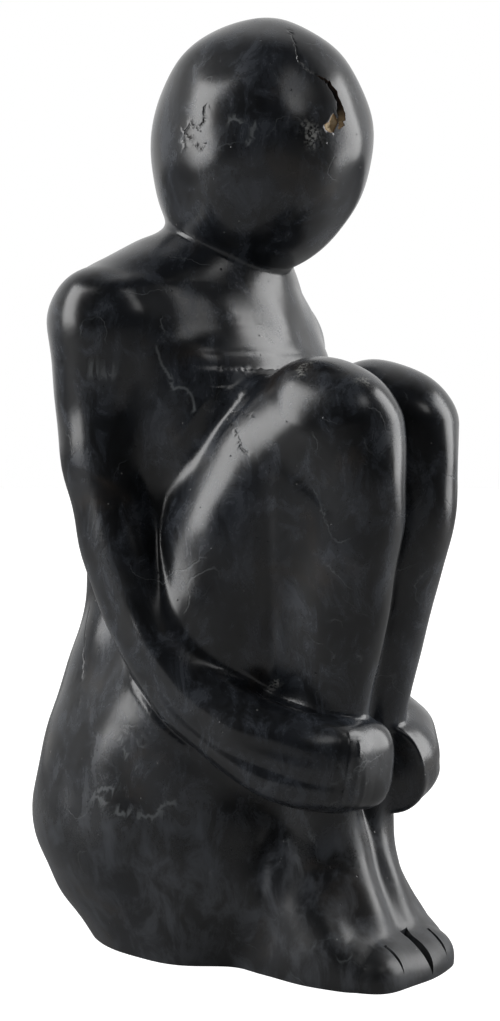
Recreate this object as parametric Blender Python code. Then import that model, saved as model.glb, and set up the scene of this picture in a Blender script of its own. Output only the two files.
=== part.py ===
"""Seated stone figure that hugs its knees, carved from one block.

The figure faces -Y and its left side is +X. It stands on the plane Z = 0, with the
origin under the middle of its bounding box. The carving keeps its proportions at any
size, so every length below HEIGHT is given in hundredths of the height.
"""

import math

import bmesh
import bpy
import numpy as np
from mathutils import Matrix, Vector

HEIGHT = 0.440                 # metres
SHARE = HEIGHT / 100
FACETS = 8600                  # triangles of the finished solid, before its cuts
GRAIN = 0.68                   # edge of the cells the block is refined to

# Limbs. A station is a point on the limb's middle line with the half width and half
# depth there, and sometimes how square the section is (2 is an ellipse).
TORSO = [
    (0, 0.6, -4.0, 7.0, 6.0, 2.3),
    (0, 1.3, 1.5, 11.8, 9.0, 2.3),
    (0, 2.4, 8.0, 15.4, 11.7, 2.3),
    (0, 3.1, 15.0, 16.8, 13.2, 2.3),
    (0, 2.7, 24.0, 15.0, 11.7, 2.3),
    (0, 1.0, 36.0, 12.0, 9.8, 2.4),
    (0, -0.6, 49.0, 13.2, 10.6, 2.5),
    (0, -2.9, 60.0, 14.2, 11.8, 2.7),
    (0, -3.0, 66.0, 12.8, 9.6, 2.4),
    (0, -2.6, 71.0, 9.8, 6.3, 2.2),
]
SHOULDERS = [
    (-14.1, 0.4, 68.5, 4.7, 4.4),
    (-9.0, 0.4, 69.9, 5.2, 5.2),
    (0.0, -0.6, 71.0, 6.2, 6.4),
    (9.0, 0.4, 69.9, 5.2, 5.2),
    (14.1, 0.4, 68.5, 4.7, 4.4),
]
COLLAR = [
    (-12.6, -1.8, 67.4, 3.4, 3.4),
    (-8.0, -3.6, 68.6, 3.9, 3.9),
    (0.0, -5.4, 69.6, 4.6, 4.6),
    (8.0, -3.6, 68.6, 3.9, 3.9),
    (12.6, -1.8, 67.4, 3.4, 3.4),
]
NECK = [
    (0, -4.4, 68.0, 7.0, 6.0),
    (0, -5.4, 76.0, 6.4, 6.3),
    (0, -6.4, 82.0, 7.2, 7.4),
]
THIGH = [
    (6.6, 0.5, 13.0, 9.4, 9.0),
    (6.8, -5.0, 26.0, 8.6, 9.0),
    (6.4, -9.6, 38.0, 8.0, 8.8),
    (6.0, -12.6, 47.6, 7.4, 8.8),
    (5.4, -17.2, 54.2, 6.2, 7.8),
    (5.1, -20.8, 57.4, 5.3, 6.0),
]
SHIN = [
    (4.8, -24.8, 56.8, 4.8, 6.0),
    (4.6, -24.3, 49.0, 4.6, 6.9),
    (4.1, -22.3, 38.0, 4.1, 6.4),
    (3.5, -20.5, 27.0, 3.5, 5.6),
    (3.3, -19.8, 15.0, 3.4, 4.5),
    (3.6, -20.6, 7.0, 3.8, 5.0),
]
WEB = [
    (0, -15.0, 9.0, 5.6, 8.4),
    (0, -14.8, 20.0, 5.6, 8.0),
    (0, -17.4, 36.0, 4.2, 8.2),
    (0, -19.2, 49.0, 4.2, 8.2),
    (0, -20.0, 54.0, 4.2, 7.2),
]
HAUNCH = [
    (4.6, -3.6, -6.0, 6.6, 8.0),
    (5.2, -4.3, 2.0, 8.2, 10.2),
    (5.8, -5.4, 10.0, 8.8, 10.8),
    (6.2, -6.6, 18.0, 8.2, 10.0),
    (6.4, -8.2, 24.0, 6.4, 8.0),
]
FOOT = [
    (4.6, -18.5, 1.4, 4.6, 5.6),
    (4.7, -22.5, 1.2, 4.8, 6.2),
    (4.4, -25.3, 0.6, 4.5, 4.7),
    (3.9, -27.3, 0.2, 4.0, 3.6),
]
INSTEP = [
    (1.8, -20.0, 15.0, 2.1, 3.4),
    (1.9, -22.2, 10.0, 2.5, 3.3),
    (2.2, -24.4, 5.6, 2.9, 3.0),
    (2.6, -26.6, 2.2, 3.4, 2.4),
]
HEEL = [
    (8.0, -9.0, 9.0, 3.8, 4.8),
    (6.4, -14.5, 9.0, 3.6, 4.4),
    (5.0, -19.5, 7.6, 3.4, 3.8),
]
TOES = [
    (-4.6, -25.6, 0.2, 3.5, 2.7),
    (-2.4, -27.2, 0.2, 3.7, 3.0),
    (0.0, -28.1, 0.2, 3.8, 3.1),
    (2.4, -27.9, 0.2, 3.7, 3.0),
    (4.5, -26.8, 0.2, 3.5, 2.7),
]
ARM = [
    (14.5, 0.3, 66.6, 3.7, 4.7, 2.0),
    (15.1, 0.4, 59.0, 3.7, 4.7, 2.0),
    (14.9, -1.2, 48.0, 3.6, 4.2, 2.1),
    (13.8, -4.8, 37.0, 3.6, 4.0, 2.3),
    (12.6, -9.8, 30.0, 3.7, 4.0, 2.5),
    (11.5, -15.2, 26.0, 3.8, 4.3, 2.5),
    (9.6, -20.4, 23.4, 4.0, 4.8, 2.6),
    (6.6, -23.6, 22.3, 4.3, 4.9, 2.8),
    (4.0, -24.2, 22.1, 4.3, 4.9, 3.0),
]
# Which way the arm's width points at each of its stations, as it turns to the front.
ARM_SIDES = [(1, 0, 0)] * 4 + [(1, -0.2, 0), (0.9, -0.5, 0), (0.6, -0.8, 0), (0.1, -1, 0), (0, -1, 0)]
LEFT_HAND_DROP = 1.5           # the left hand lies a little lower than the right one
LEFT_SQUARE = 2.25             # and its section is rounder
LEFT_HAND_END = (1.9, -25.1, 25.7)             # a place on the flat end that faces the right hand
LEFT_HAND_WAY = (-0.952, -0.269, -0.148)       # which way that end faces

# Head: an egg with nothing carved on it.
HEAD_CENTRE = (0, -9.8, 86.75)
HEAD_HALF_WIDTH = 11.2
HEAD_HALF_DEPTH = 12.3
HEAD_ABOVE = 13.25             # from the centre to the crown
HEAD_BELOW = 14.2              # from the centre to the chin
HEAD_BEND = 0.010              # how far the chin bends back

# Cuts. A toe cut is a thin wedge: its x, the y of its back end, its width at the front.
TOE_CUTS = [(-3.9, -28.9, 0.55), (0.6, -28.1, 0.85), (4.0, -28.9, 0.60)]
TOE_CUT_BOTTOM = 0.9
# The fissure in the head: turn to the figure's right, rise, and width, in degrees and hundredths.
FISSURE = [(21.5, 27.5, 0.20), (16.0, 24.4, 0.55), (12.4, 20.0, 0.65), (10.8, 13.5, 0.75), (9.8, 7.5, 1.15), (10.8, 2.0, 0.60)]
FISSURE_DEPTH = 1.5


def through(rows, places):
    """The smooth curve through evenly counted rows, taken at the given places."""
    rows = np.asarray(rows, float)
    knots = np.vstack([2 * rows[0] - rows[1], rows, 2 * rows[-1] - rows[-2]])
    first = np.minimum(places.astype(int), len(rows) - 2)
    u = (places - first)[:, None]
    a, b, c, d = (knots[first + shift] for shift in range(4))
    return 0.5 * (2 * b + (c - a) * u + (2 * a - 5 * b + 4 * c - d) * u**2 + (3 * b - a - 3 * c + d) * u**3)


class Limb:
    """A rounded limb swept through its stations, as a field that is negative inside."""

    def __init__(self, stations, side=(1, 0, 0), cap=1.0, square=2.0, steps=48):
        places = np.linspace(0, len(stations) - 1, steps)
        table = through(stations, places)
        self.middle, self.radii = table[:, :3], table[:, 3:5]
        self.square = table[:, 5] if table.shape[1] > 5 else np.full(steps, square)
        along = np.gradient(self.middle, axis=0)
        self.along = along / np.linalg.norm(along, axis=1)[:, None]
        side = through(side, places) if np.ndim(side) == 2 else np.tile(side, (steps, 1))
        side = side - (side * self.along).sum(1)[:, None] * self.along
        self.side = side / np.linalg.norm(side, axis=1)[:, None]
        self.up = np.cross(self.along, self.side)
        self.cap = cap
        reach = self.radii.max()
        self.low, self.high = self.middle.min(0) - reach, self.middle.max(0) + reach

    def __call__(self, points):
        outside = np.maximum(np.maximum(self.low - points, points - self.high), 0)
        field = np.linalg.norm(outside, axis=1)
        near = field < 8
        field[~near] += 2
        p = points[near]
        if not len(p):
            return field
        square_distance = (p**2).sum(1)[:, None] - 2 * p @ self.middle.T + (self.middle**2).sum(1)
        nearest = np.clip(square_distance.argmin(1), 1, len(self.middle) - 2)
        ahead = ((p - self.middle[nearest]) * self.along[nearest]).sum(1) > 0
        a = np.where(ahead, nearest, nearest - 1)
        step = self.middle[a + 1] - self.middle[a]
        share = np.clip(((p - self.middle[a]) * step).sum(1) / (step**2).sum(1), 0, 1)[:, None]

        def between(values):
            return values[a] * (1 - share) + values[a + 1] * share

        radii = between(self.radii)
        offset = p - self.middle[a] - share * step
        x = (offset * between(self.side)).sum(1) / radii[:, 0]
        y = (offset * between(self.up)).sum(1) / radii[:, 1]
        z = (offset * between(self.along)).sum(1) / (radii.min(1) * self.cap)
        square = self.square[a]
        size = (abs(x)**square + abs(y)**square + abs(z)**square)**(1 / square) + 1e-9
        field[near] = np.linalg.norm(offset, axis=1) * (1 - 1 / size)
        return field


def egg(points):
    """The head's field."""
    x, y, z = (points - np.array(HEAD_CENTRE)).T
    reach = np.where(z > 0, HEAD_ABOVE, HEAD_BELOW)
    bent = y - HEAD_BEND * np.minimum(z, 0)**2
    size = np.sqrt((x / HEAD_HALF_WIDTH)**2 + (bent / HEAD_HALF_DEPTH)**2 + (z / reach)**2) + 1e-9
    return np.sqrt(x * x + y * y + z * z) * (1 - 1 / size)


def joined(a, b, blend):
    """Two fields as one form, with a fillet about as wide as the blend."""
    near = np.maximum(blend - abs(a - b), 0) / blend
    return np.minimum(a, b) - near * near * blend / 4


def ramp(values, start, end):
    """0 before the start, 1 after the end, and smooth between them."""
    share = np.clip((values - start) / (end - start), 0, 1)
    return share * share * (3 - 2 * share)


class Figure:
    """The whole carving as one field over points in hundredths of the height."""

    def __init__(self):
        self.torso = Limb(TORSO, cap=0.8)
        self.shoulders = Limb(SHOULDERS, side=(0, 1, 0))
        self.collar, self.neck = Limb(COLLAR, side=(0, 1, 0)), Limb(NECK)
        self.thigh, self.shin, self.haunch = Limb(THIGH), Limb(SHIN), Limb(HAUNCH)
        self.web = Limb(WEB)
        self.foot, self.toes = Limb(FOOT, square=2.6), Limb(TOES, side=(0, 1, 0), square=2.5)
        self.instep, self.heel = Limb(INSTEP), Limb(HEEL)
        self.right_arm = Limb(ARM, side=ARM_SIDES)
        drop = np.linspace(0, 1, len(ARM))**3 * LEFT_HAND_DROP
        lowered = [(x, y, z - d, w, h, min(q, LEFT_SQUARE)) for (x, y, z, w, h, q), d in zip(ARM, drop)]
        self.left_arm = Limb(lowered, side=ARM_SIDES)

    def __call__(self, points):
        sides = points, points * np.array([-1, 1, 1])
        seat, low = ramp(-points[:, 2], -40, -22), ramp(-points[:, 2], -20, -12)
        form = joined(self.torso(points), self.shoulders(points), 6.5)
        form = joined(joined(form, self.neck(points), 3.0), self.collar(points), 4.0)
        form = joined(form, egg(points), 0.7)
        knee, pit = ramp(points[:, 2], 38, 56), ramp(-points[:, 2], -41, -30)
        legs = self.web(points)
        for side in sides:
            form = joined(form, self.haunch(side), 4.5)
            leg = joined(self.thigh(side), self.shin(side), 3.4 + 2.2 * knee + 2.8 * pit)
            leg = joined(joined(leg, self.foot(side), 3.0), self.heel(side), 3.0)
            legs = joined(legs, joined(leg, self.instep(side), 1.6), 0.7 + 1.1 * low)
        legs = joined(legs, self.toes(points), 1.8)
        form = joined(form, legs, 2.0 + 2.8 * seat)
        front = ramp(-points[:, 1], 21, 24)
        for side, arm in zip(sides, self.arms(sides)):
            shoulder = ramp(side[:, 2], 40, 64)
            form = joined(form, arm, 1.3 + 3.8 * shoulder - 0.7 * front)
        return form

    def arms(self, sides):
        """The left arm's field, cut off flat where its hand faces the right one, and the right arm's."""
        left = self.left_arm(sides[0])
        beyond = (sides[0] - np.array(LEFT_HAND_END)) @ np.array(LEFT_HAND_WAY)
        cut = -joined(-left, -beyond, 0.5)
        return left + (cut - left) * ramp(-sides[0][:, 1], 18, 22), self.right_arm(sides[1])

    def lumps(self):
        """Balls that together fill the rough block, as centres and radii."""
        once = self.torso, self.shoulders, self.collar, self.neck, self.web, self.toes
        twice = self.left_arm, self.thigh, self.shin, self.haunch, self.foot, self.instep, self.heel
        for limb in once + twice:
            for centre, radius in zip(limb.middle[::2], limb.radii.max(1)[::2]):
                yield centre, 0.9 * radius
                if limb in twice:
                    yield centre * (-1, 1, 1), 0.9 * radius
        yield np.array(HEAD_CENTRE), HEAD_HALF_WIDTH


def shape_of(form_object):
    """The object's mesh with its modifiers worked in."""
    graph = bpy.context.evaluated_depsgraph_get()
    mesh = bpy.data.meshes.new_from_object(form_object.evaluated_get(graph))
    form_object.modifiers.clear()
    form_object.data = mesh
    return mesh


def corners(mesh):
    flat = np.empty(len(mesh.vertices) * 3)
    mesh.vertices.foreach_get("co", flat)
    return flat.reshape(-1, 3)


def rough_block(figure):
    """A block of balls along the limbs, a little smaller than the finished form."""
    work = bmesh.new()
    for centre, radius in figure.lumps():
        place = Matrix.Translation(Vector(centre * SHARE))
        bmesh.ops.create_icosphere(work, subdivisions=2, radius=radius * SHARE, matrix=place)
    mesh = bpy.data.meshes.new("seated_figure")
    work.to_mesh(mesh)
    work.free()
    block = bpy.data.objects.new("seated_figure", mesh)
    bpy.context.scene.collection.objects.link(block)
    return block


def even_out(block, grain):
    """Cover the block with even faces of the given size."""
    cells = block.modifiers.new("even", "REMESH")
    cells.mode = "VOXEL"
    cells.voxel_size = grain * SHARE
    shape_of(block)


def carve(mesh, figure, rounds):
    """Move every corner along the field's slope until it lies on the form."""
    for _ in range(rounds):
        points = corners(mesh) / SHARE
        field = figure(points)
        slope = np.stack([figure(points + step) - field for step in np.eye(3) * 0.05], 1) / 0.05
        steep = np.maximum((slope**2).sum(1), 0.15)
        moved = points - np.clip(field / steep, -3, 3)[:, None] * slope
        mesh.vertices.foreach_set("co", (moved * SHARE).ravel())
        mesh.update()


def soften(mesh):
    work = bmesh.new()
    work.from_mesh(mesh)
    bmesh.ops.smooth_vert(work, verts=work.verts, factor=0.5, use_axis_x=True, use_axis_y=True, use_axis_z=True)
    work.to_mesh(mesh)
    work.free()


def flat_base(mesh):
    """Cut the form off at the ground and close it with one flat face."""
    work = bmesh.new()
    work.from_mesh(mesh)
    everything = work.verts[:] + work.edges[:] + work.faces[:]
    bmesh.ops.bisect_plane(work, geom=everything, dist=1e-7, plane_co=(0, 0, 0), plane_no=(0, 0, -1), clear_outer=True)
    rim = [edge for edge in work.edges if edge.is_boundary]
    bmesh.ops.holes_fill(work, edges=rim, sides=0)
    bmesh.ops.triangulate(work, faces=work.faces)
    work.to_mesh(mesh)
    work.free()


def wedge(name, tops, bottoms, widths, across):
    """A blade with a sharp lower edge: each station has a top, a bottom, a width and a width's direction."""
    work = bmesh.new()
    rings = []
    for top, bottom, width, side in zip(tops, bottoms, widths, across):
        half = Vector(side).normalized() * width / 2
        places = Vector(top) + half, Vector(top) - half, Vector(bottom)
        rings.append([work.verts.new(place * SHARE) for place in places])
    for ring, following in zip(rings, rings[1:]):
        for i in range(3):
            j = (i + 1) % 3
            work.faces.new((ring[i], ring[j], following[j], following[i]))
    work.faces.new(rings[0][::-1])
    work.faces.new(rings[-1])
    bmesh.ops.triangulate(work, faces=work.faces)
    bmesh.ops.recalc_face_normals(work, faces=work.faces)
    mesh = bpy.data.meshes.new(name)
    work.to_mesh(mesh)
    work.free()
    blade = bpy.data.objects.new(name, mesh)
    bpy.context.scene.collection.objects.link(blade)
    return blade


def cut(form_object, blade):
    """Take the blade's shape away from the form, and the blade with it."""
    taken = form_object.modifiers.new("cut", "BOOLEAN")
    taken.operation, taken.solver, taken.object = "DIFFERENCE", "EXACT", blade
    shape_of(form_object)
    bpy.data.objects.remove(blade)


def toe_blades():
    """A saw cut between toes opens to the front and slopes down from the instep."""
    for number, (x, back, width) in enumerate(TOE_CUTS):
        tops = [(x, back, 5.6), (x, back - 5.5, 5.6)]
        bottoms = [(x, back, TOE_CUT_BOTTOM + 2.6), (x, back - 5.5, TOE_CUT_BOTTOM - 2.0)]
        yield wedge(f"toe_cut_{number}", tops, bottoms, (width * 2.2, width * 4.2), [(1, 0, 0)] * 2)


def on_head(turn, rise):
    """Where a line from the head's centre comes out of the egg, and the line's direction."""
    turn, rise = math.radians(turn), math.radians(rise)
    ray = np.array([-math.sin(turn) * math.cos(rise), -math.cos(turn) * math.cos(rise), math.sin(rise)])
    reach = HEAD_HALF_DEPTH
    for _ in range(20):
        reach -= egg(np.array([HEAD_CENTRE]) + ray * reach)[0]
    return np.array(HEAD_CENTRE) + ray * reach, ray


def fissure_blade():
    spots = [on_head(turn, rise) for turn, rise, _ in FISSURE]
    depth = [FISSURE_DEPTH * math.sin(math.pi * (i + 0.6) / (len(FISSURE) + 0.2)) for i in range(len(FISSURE))]
    tops = [spot + ray * 0.5 for spot, ray in spots]
    bottoms = [spot - ray * deep for (spot, ray), deep in zip(spots, depth)]
    places = np.array(tops)
    along = np.gradient(places, axis=0)
    across = [np.cross(way, ray) for way, (_, ray) in zip(along, spots)]
    widths = [width * (1 + 0.5 / deep) for (_, _, width), deep in zip(FISSURE, depth)]
    return wedge("fissure", tops, bottoms, widths, across)


def black_stone():
    stone = bpy.data.materials.new("black stone")
    stone.use_nodes = True
    surface = stone.node_tree.nodes["Principled BSDF"]
    surface.inputs["Base Color"].default_value = (0.030, 0.032, 0.036, 1)
    surface.inputs["Roughness"].default_value = 0.38
    stone.diffuse_color = (0.10, 0.105, 0.115, 1)
    return stone


def centred(mesh):
    """Bring the middle of the bounding box over the origin."""
    places = corners(mesh)
    low, high = places.min(0), places.max(0)
    mesh.vertices.foreach_set("co", (places - (*(low + high)[:2] / 2, low[2])).ravel())
    mesh.update()


def build():
    for thing in list(bpy.data.objects):
        bpy.data.objects.remove(thing)
    figure = Figure()
    block = rough_block(figure)
    even_out(block, GRAIN * 1.6)
    carve(block.data, figure, 2)
    even_out(block, GRAIN)
    carve(block.data, figure, 2)
    for _ in range(2):
        soften(block.data)
        carve(block.data, figure, 1)
    fewer = block.modifiers.new("fewer", "DECIMATE")
    block.data.calc_loop_triangles()
    fewer.ratio = FACETS / len(block.data.loop_triangles)
    flat_base(shape_of(block))
    for blade in list(toe_blades()) + [fissure_blade()]:
        cut(block, blade)
    centred(block.data)
    block.data.shade_smooth()
    block.data.set_sharp_from_angle(angle=math.radians(38))
    block.data.materials.clear()
    block.data.materials.append(black_stone())


build()
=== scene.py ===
"""The look of a black stone figure that sits hugging its drawn-up knees.

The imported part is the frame. Its solid is coarse, so the same carving is made again here at
a finer grain, with its chisel lines, chips and pits, and it stands for the solid.
Lengths are hundredths of the figure's height, with +Z up and the front at -Y, unless a name
says metres or degrees.
"""
import logging
import math
from collections.abc import Iterator
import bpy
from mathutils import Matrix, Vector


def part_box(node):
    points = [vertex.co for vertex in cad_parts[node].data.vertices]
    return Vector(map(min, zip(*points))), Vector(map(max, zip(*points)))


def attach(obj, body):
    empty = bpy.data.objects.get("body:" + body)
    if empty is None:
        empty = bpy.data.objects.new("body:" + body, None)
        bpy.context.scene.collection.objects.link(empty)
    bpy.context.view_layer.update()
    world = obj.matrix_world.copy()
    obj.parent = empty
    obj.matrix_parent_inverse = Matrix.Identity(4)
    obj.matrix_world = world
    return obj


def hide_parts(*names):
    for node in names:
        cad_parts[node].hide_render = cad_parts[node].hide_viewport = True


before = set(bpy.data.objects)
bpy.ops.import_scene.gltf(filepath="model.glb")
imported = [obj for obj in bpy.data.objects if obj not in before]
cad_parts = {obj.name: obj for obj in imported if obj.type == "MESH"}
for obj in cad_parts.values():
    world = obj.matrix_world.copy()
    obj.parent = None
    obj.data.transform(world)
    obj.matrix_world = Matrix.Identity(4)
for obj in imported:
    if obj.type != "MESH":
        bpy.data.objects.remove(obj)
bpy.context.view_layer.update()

from concurrent.futures import ThreadPoolExecutor
from contextlib import contextmanager
from dataclasses import dataclass, field, replace
from enum import Enum

import bmesh
import bpy
import numpy as np
from mathutils import Matrix, Vector

NODE = "seated_figure"
BEGIN, END = (corner.copy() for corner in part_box(NODE))
SHARE = (END.z - BEGIN.z) / 100                # metres in one hundredth of the height
logger = logging.getLogger("seated_figure")

Spot = tuple[float, float, float]
Stations = tuple[tuple[float, ...], ...]
Colour = tuple[float, float, float]
Mesh, Thing, Socket = bpy.types.Mesh, bpy.types.Object, bpy.types.NodeSocket
Marks = dict[str, Socket]
MIRROR = np.array([-1.0, 1.0, 1.0])            # changes left and right over


def through(rows: Stations, places: np.ndarray) -> np.ndarray:
    """Find points on the smooth curve through some rows.

    Args:
        rows: The rows that the curve passes through, evenly counted.
        places: Where on the curve, counted in rows.

    Returns:
        One row for each place.
    """
    table = np.asarray(rows, float)
    knots = np.vstack([2 * table[0] - table[1], table, 2 * table[-1] - table[-2]])
    first = np.minimum(places.astype(int), len(table) - 2)
    u = (places - first)[:, None]
    a, b, c, d = (knots[first + shift] for shift in range(4))
    bend = (2 * a - 5 * b + 4 * c - d) * u**2 + (3 * b - a - 3 * c + d) * u**3
    return 0.5 * (2 * b + (c - a) * u + bend)


def joined(a: np.ndarray, b: np.ndarray, blend: float | np.ndarray) -> np.ndarray:
    """Two fields as one form, with a fillet about as wide as the blend."""
    near = np.maximum(blend - abs(a - b), 0) / blend
    return np.minimum(a, b) - near * near * blend / 4


def ramp(values: np.ndarray, start: float, end: float) -> np.ndarray:
    """0 before the start, 1 after the end, and smooth between them."""
    share = np.clip((values - start) / (end - start), 0, 1)
    return share * share * (3 - 2 * share)


def falling(values: np.ndarray, start: float, end: float) -> np.ndarray:
    """0 above the start, 1 below the end, and smooth between them."""
    return ramp(-values, -start, -end)


@dataclass
class Limb:
    """A rounded limb swept through its stations, as a field that is negative inside.

    A station is a point on the limb's middle line with the half width and half depth there,
    and sometimes how square the section is, where 2 is an ellipse.
    """

    stations: Stations
    side: Stations | Spot = (1, 0, 0)
    cap: float = 1.0
    square: float = 2.0
    steps: int = 48

    def __post_init__(self) -> None:
        """Work out the middle line, the radii and the directions along the limb."""
        places = np.linspace(0, len(self.stations) - 1, self.steps)
        table = through(self.stations, places)
        self.middle, self.radii = table[:, :3], table[:, 3:5]
        squares = table[:, 5] if table.shape[1] > 5 else np.full(self.steps, self.square)
        along = np.gradient(self.middle, axis=0)
        self.along = along / np.linalg.norm(along, axis=1)[:, None]
        side = through(self.side, places) if np.ndim(self.side) == 2 else np.tile(self.side, (self.steps, 1))
        side = side - (side * self.along).sum(1)[:, None] * self.along
        across = side / np.linalg.norm(side, axis=1)[:, None]
        up = np.cross(self.along, across)
        self.pace = np.linalg.norm(along, axis=1)
        self.table = np.hstack([self.middle, self.radii, across, up, self.along, squares[:, None]])
        reach = self.radii.max()
        self.low, self.high = self.middle.min(0) - reach, self.middle.max(0) + reach

    def __call__(self, points: np.ndarray) -> np.ndarray:
        """Work out the limb's field.

        Args:
            points: One point in a row.

        Returns:
            About how far each point lies outside the limb.
        """
        outside = np.maximum(np.maximum(self.low - points, points - self.high), 0)
        result = np.linalg.norm(outside, axis=1)
        near = result < 8
        result[~near] += 2
        p = points[near]
        if not len(p):
            return result
        square_distance = (p**2).sum(1)[:, None] - 2 * p @ self.middle.T + (self.middle**2).sum(1)
        nearest = square_distance.argmin(1)
        pace = self.pace[nearest]
        places = nearest + ((p - self.middle[nearest]) * self.along[nearest]).sum(1) / pace
        for last in (False, True):
            places = np.clip(places, 0, self.steps - 1)
            columns = np.split(through(self.table, places), (3, 5, 8, 11, 14), axis=1)
            middle, radii, across, up, along, square = columns
            offset = p - middle
            if not last:
                places = places + (offset * along).sum(1) / pace
        x = (offset * across).sum(1) / radii[:, 0]
        y = (offset * up).sum(1) / radii[:, 1]
        z = (offset * along).sum(1) / (radii.min(1) * self.cap)
        square = square[:, 0]
        size = (abs(x)**square + abs(y)**square + abs(z)**square)**(1 / square) + 1e-9
        result[near] = np.linalg.norm(offset, axis=1) * (1 - 1 / size)
        return result


@dataclass
class Trunk:
    """The back, chest and seat, the sloping shoulders and the short neck."""

    torso: Stations = (
        (0, 0.6, -4.0, 7.0, 6.0, 2.3),
        (0, 1.3, 1.5, 11.8, 9.0, 2.3),
        (0, 2.4, 8.0, 15.4, 11.7, 2.3),
        (0, 3.1, 15.0, 16.8, 13.2, 2.3),
        (0, 2.7, 24.0, 15.0, 11.7, 2.3),
        (0, 1.0, 36.0, 12.0, 9.8, 2.4),
        (0, -0.6, 49.0, 13.2, 10.6, 2.5),
        (0, -2.9, 60.0, 14.2, 11.8, 2.7),
        (0, -3.0, 66.0, 12.8, 9.6, 2.4),
        (0, -2.6, 71.0, 9.8, 6.3, 2.2),
    )
    shoulders: Stations = (
        (-14.1, 0.4, 68.5, 4.7, 4.4),
        (-9.0, 0.4, 69.9, 5.2, 5.2),
        (0.0, -0.6, 71.0, 6.2, 6.4),
        (8.6, 0.5, 69.5, 5.1, 5.1),
        (13.5, 0.5, 67.3, 4.6, 4.3),
    )
    neck: Stations = ((0, -4.4, 68.0, 7.0, 6.0), (0, -5.4, 76.0, 6.4, 6.3), (0, -6.4, 82.0, 7.2, 7.4))
    collar: Stations = (
        (-12.6, -1.8, 67.4, 3.4, 3.4),
        (-8.0, -3.6, 68.6, 3.9, 3.9),
        (0.0, -5.4, 69.6, 4.6, 4.6),
        (7.8, -3.4, 68.2, 3.8, 3.8),
        (12.1, -1.8, 66.5, 3.3, 3.3),
    )
    shoulder_blend: float = 6.5
    neck_blend: float = 3.0
    collar_blend: float = 6.5

    def __post_init__(self) -> None:
        """Make the limbs once."""
        level = (0, 1, 0)
        over = Limb(self.shoulders, side=level), Limb(self.collar, side=level)
        self.limbs = Limb(self.torso, cap=0.8), *over, Limb(self.neck)

    def form(self, points: np.ndarray) -> np.ndarray:
        """The trunk's field at each point.

        Args:
            points: Places in hundredths of the height, one in a row.

        Returns:
            The field's value at each point, negative inside.
        """
        torso, shoulders, collar, neck = (limb(points) for limb in self.limbs)
        trunk = joined(joined(torso, shoulders, self.shoulder_blend), collar, self.collar_blend)
        return joined(trunk, neck, self.neck_blend)


@dataclass
class Head:
    """A smooth egg with its narrow end down, bent back a little towards the neck."""

    centre: Spot = (0, -9.8, 86.75)
    half_width: float = 11.2
    half_depth: float = 12.3
    above: float = 13.25
    below: float = 14.2
    bend: float = 0.010

    def form(self, points: np.ndarray) -> np.ndarray:
        """The egg's field at each point.

        Args:
            points: Places in hundredths of the height, one in a row.

        Returns:
            The field's value at each point, negative inside.
        """
        x, y, z = (points - np.array(self.centre)).T
        reach = np.where(z > 0, self.above, self.below)
        bent = y - self.bend * np.minimum(z, 0)**2
        size = np.sqrt((x / self.half_width)**2 + (bent / self.half_depth)**2 + (z / reach)**2) + 1e-9
        return np.sqrt(x * x + y * y + z * z) * (1 - 1 / size)

    def surface(self, turn_degrees: float, rise_degrees: float) -> tuple[np.ndarray, np.ndarray]:
        """Find where a line from the centre comes out of the egg.

        Args:
            turn_degrees: The line's turn from the front to the figure's right.
            rise_degrees: The line's rise above the level.

        Returns:
            The place on the surface, and the line's direction.
        """
        turn, rise = math.radians(turn_degrees), math.radians(rise_degrees)
        ray = np.array([-math.sin(turn) * math.cos(rise), -math.cos(turn) * math.cos(rise), math.sin(rise)])
        reach = self.half_depth
        for _ in range(20):
            reach -= self.form(np.array([self.centre]) + ray * reach)[0]
        return np.array(self.centre) + ray * reach, ray


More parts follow.
